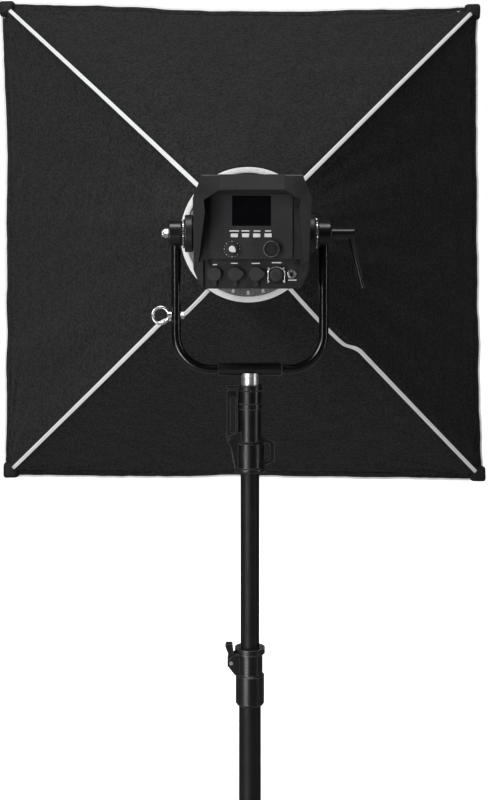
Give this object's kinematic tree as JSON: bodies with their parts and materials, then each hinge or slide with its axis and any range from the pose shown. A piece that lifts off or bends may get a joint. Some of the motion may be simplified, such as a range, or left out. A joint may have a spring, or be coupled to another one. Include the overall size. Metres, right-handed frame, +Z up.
{
  "type": "studio softbox",
  "caption": "Square softbox on a lamp head in a tilting yoke, on a telescopic stand with three folding legs.",
  "frame": {"origin": "on the floor, under the middle of the whole object's box", "axes": "+Z up, +Y the way the softbox faces, +X to the right of a person behind the lamp"},
  "size_m": [1.042, 0.982, 2.171],
  "materials": {
    "black_casting": "matte",
    "black_fabric": "matte",
    "black_plastic": "matte",
    "black_rubber": "matte",
    "black_steel": "satin",
    "board_green": "matte",
    "bright_steel": "satin",
    "button_white": "satin",
    "chrome": "polished",
    "clear_glass": "gloss",
    "dial_plastic": "matte",
    "led_phosphor": "satin",
    "panel_plastic": "matte",
    "ring_metal": "satin",
    "screen_glass": "gloss",
    "sink_aluminium": "satin",
    "white_fabric": "matte"
  },
  "bodies": {
    "base": {"base_column": "black_steel", "hub_collars": "black_steel", "front_leg": "black_steel", "front_foot": "black_rubber", "clamp_collar": "black_casting", "clamp_pin": "bright_steel"},
    "left_leg": {"left_leg": "black_steel", "left_foot": "black_rubber"},
    "right_leg": {"right_leg": "black_steel", "right_foot": "black_rubber"},
    "column_clamp_lever": {"clamp_lever": "black_casting"},
    "riser": {"riser_tube": "black_steel", "receiver": "black_casting", "receiver_pin": "bright_steel"},
    "spigot_lock_lever": {"receiver_lever": "black_casting"},
    "yoke": {"yoke_tube": "black_steel", "yoke_hubs": "black_casting", "friction_discs": "black_plastic", "yoke_sleeve": "black_casting", "spigot": "chrome", "pivot_bolt": "bright_steel", "yoke_nuts": "bright_steel", "eye_bolt": "chrome"},
    "tilt_clamp": {"tilt_lever": "black_casting"},
    "lamp_head": {"body_shell": "black_casting", "rear_cover": "black_plastic", "carry_handle": "black_plastic", "control_panel": "panel_plastic", "display_window": "screen_glass", "port_sockets": "black_plastic", "power_plate": "chrome", "power_socket": "black_plastic", "control_port": "chrome", "panel_screws": "bright_steel", "driver_board": "board_green", "fan_frame": "black_plastic", "heat_sink": "sink_aluminium", "led_module": "led_phosphor", "glass_cover": "clear_glass", "mount_flange": "black_casting"},
    "button_1": {"button_1": "button_white"},
    "button_2": {"button_2": "button_white"},
    "button_3": {"button_3": "button_white"},
    "button_4": {"button_4": "button_white"},
    "left_dial": {"left_dial": "dial_plastic"},
    "right_knob": {"right_knob": "black_plastic"},
    "usb_cap": {"usb_cap": "black_rubber"},
    "data_in_cap": {"data_in_cap": "black_rubber"},
    "data_out_cap": {"data_out_cap": "black_rubber"},
    "fan_rotor": {"fan_rotor": "black_plastic"},
    "mount_latch": {"mount_latch": "black_plastic"},
    "softbox": {"speed_ring": "ring_metal", "rod_sockets": "ring_metal", "support_rods": "bright_steel", "fabric_skin": "black_fabric", "rear_collar": "white_fabric", "front_binding": "white_fabric", "corner_pockets": "black_rubber", "front_diffuser": "white_fabric", "inner_baffle": "white_fabric"}
  },
  "joints": [
    {"name": "left_leg_swing", "type": "hinge", "parent": "base", "child": "left_leg", "pos_m": [0, -0.223, 0.34], "axis": [0, 0, 1], "range_deg": [-110, 0]},
    {"name": "right_leg_swing", "type": "hinge", "parent": "base", "child": "right_leg", "pos_m": [0, -0.223, 0.38], "axis": [0, 0, 1], "range_deg": [0, 110]},
    {"name": "clamp_lever_turn", "type": "hinge", "parent": "base", "child": "column_clamp_lever", "pos_m": [-0.03, -0.223, 0.966], "axis": [0, -1, 0], "range_deg": [0, 70]},
    {"name": "riser_slide", "type": "slide", "parent": "base", "child": "riser", "axis": [0, 0, 1], "range_m": [-0.27, 0.3]},
    {"name": "spigot_lever_turn", "type": "hinge", "parent": "riser", "child": "spigot_lock_lever", "pos_m": [-0.0305, -0.223, 1.323], "axis": [0, -1, 0], "range_deg": [0, 40]},
    {"name": "yoke_pan", "type": "hinge", "parent": "riser", "child": "yoke", "pos_m": [0, -0.223, 1.37], "axis": [0, 0, 1], "continuous": true},
    {"name": "lamp_tilt", "type": "hinge", "parent": "yoke", "child": "lamp_head", "pos_m": [0, -0.223, 1.65], "axis": [1, 0, 0], "range_deg": [-35, 90]},
    {"name": "tilt_lever_turn", "type": "hinge", "parent": "yoke", "child": "tilt_clamp", "pos_m": [0.13, -0.223, 1.65], "axis": [1, 0, 0], "continuous": true},
    {"name": "button_1_press", "type": "slide", "parent": "lamp_head", "child": "button_1", "axis": [0, 1, 0], "range_m": [0, 0.001], "stiffness_N_per_m": 300, "springref_m": -0.0005},
    {"name": "button_2_press", "type": "slide", "parent": "lamp_head", "child": "button_2", "axis": [0, 1, 0], "range_m": [0, 0.001], "stiffness_N_per_m": 300, "springref_m": -0.0005},
    {"name": "button_3_press", "type": "slide", "parent": "lamp_head", "child": "button_3", "axis": [0, 1, 0], "range_m": [0, 0.001], "stiffness_N_per_m": 300, "springref_m": -0.0005},
    {"name": "button_4_press", "type": "slide", "parent": "lamp_head", "child": "button_4", "axis": [0, 1, 0], "range_m": [0, 0.001], "stiffness_N_per_m": 300, "springref_m": -0.0005},
    {"name": "left_dial_turn", "type": "hinge", "parent": "lamp_head", "child": "left_dial", "pos_m": [-0.0296, -0.341, 1.624], "axis": [0, 1, 0], "continuous": true},
    {"name": "right_knob_turn", "type": "hinge", "parent": "lamp_head", "child": "right_knob", "pos_m": [0.0296, -0.341, 1.624], "axis": [0, 1, 0], "continuous": true},
    {"name": "usb_cap_flip", "type": "hinge", "parent": "lamp_head", "child": "usb_cap", "pos_m": [-0.056, -0.3333, 1.568], "axis": [1, 0, 0], "range_deg": [0, 100]},
    {"name": "data_in_cap_flip", "type": "hinge", "parent": "lamp_head", "child": "data_in_cap", "pos_m": [-0.025, -0.3333, 1.568], "axis": [1, 0, 0], "range_deg": [0, 100]},
    {"name": "data_out_cap_flip", "type": "hinge", "parent": "lamp_head", "child": "data_out_cap", "pos_m": [0.007, -0.3333, 1.568], "axis": [1, 0, 0], "range_deg": [0, 100]},
    {"name": "fan_spin", "type": "hinge", "parent": "lamp_head", "child": "fan_rotor", "pos_m": [0, -0.276, 1.65], "axis": [0, 1, 0], "continuous": true},
    {"name": "mount_latch_slide", "type": "slide", "parent": "lamp_head", "child": "mount_latch", "axis": [-1, 0, 0], "range_m": [0, 0.006], "stiffness_N_per_m": 400, "springref_m": -0.002},
    {"name": "softbox_roll", "type": "hinge", "parent": "lamp_head", "child": "softbox", "pos_m": [0, -0.076, 1.65], "axis": [0, 1, 0], "continuous": true}
  ]
}
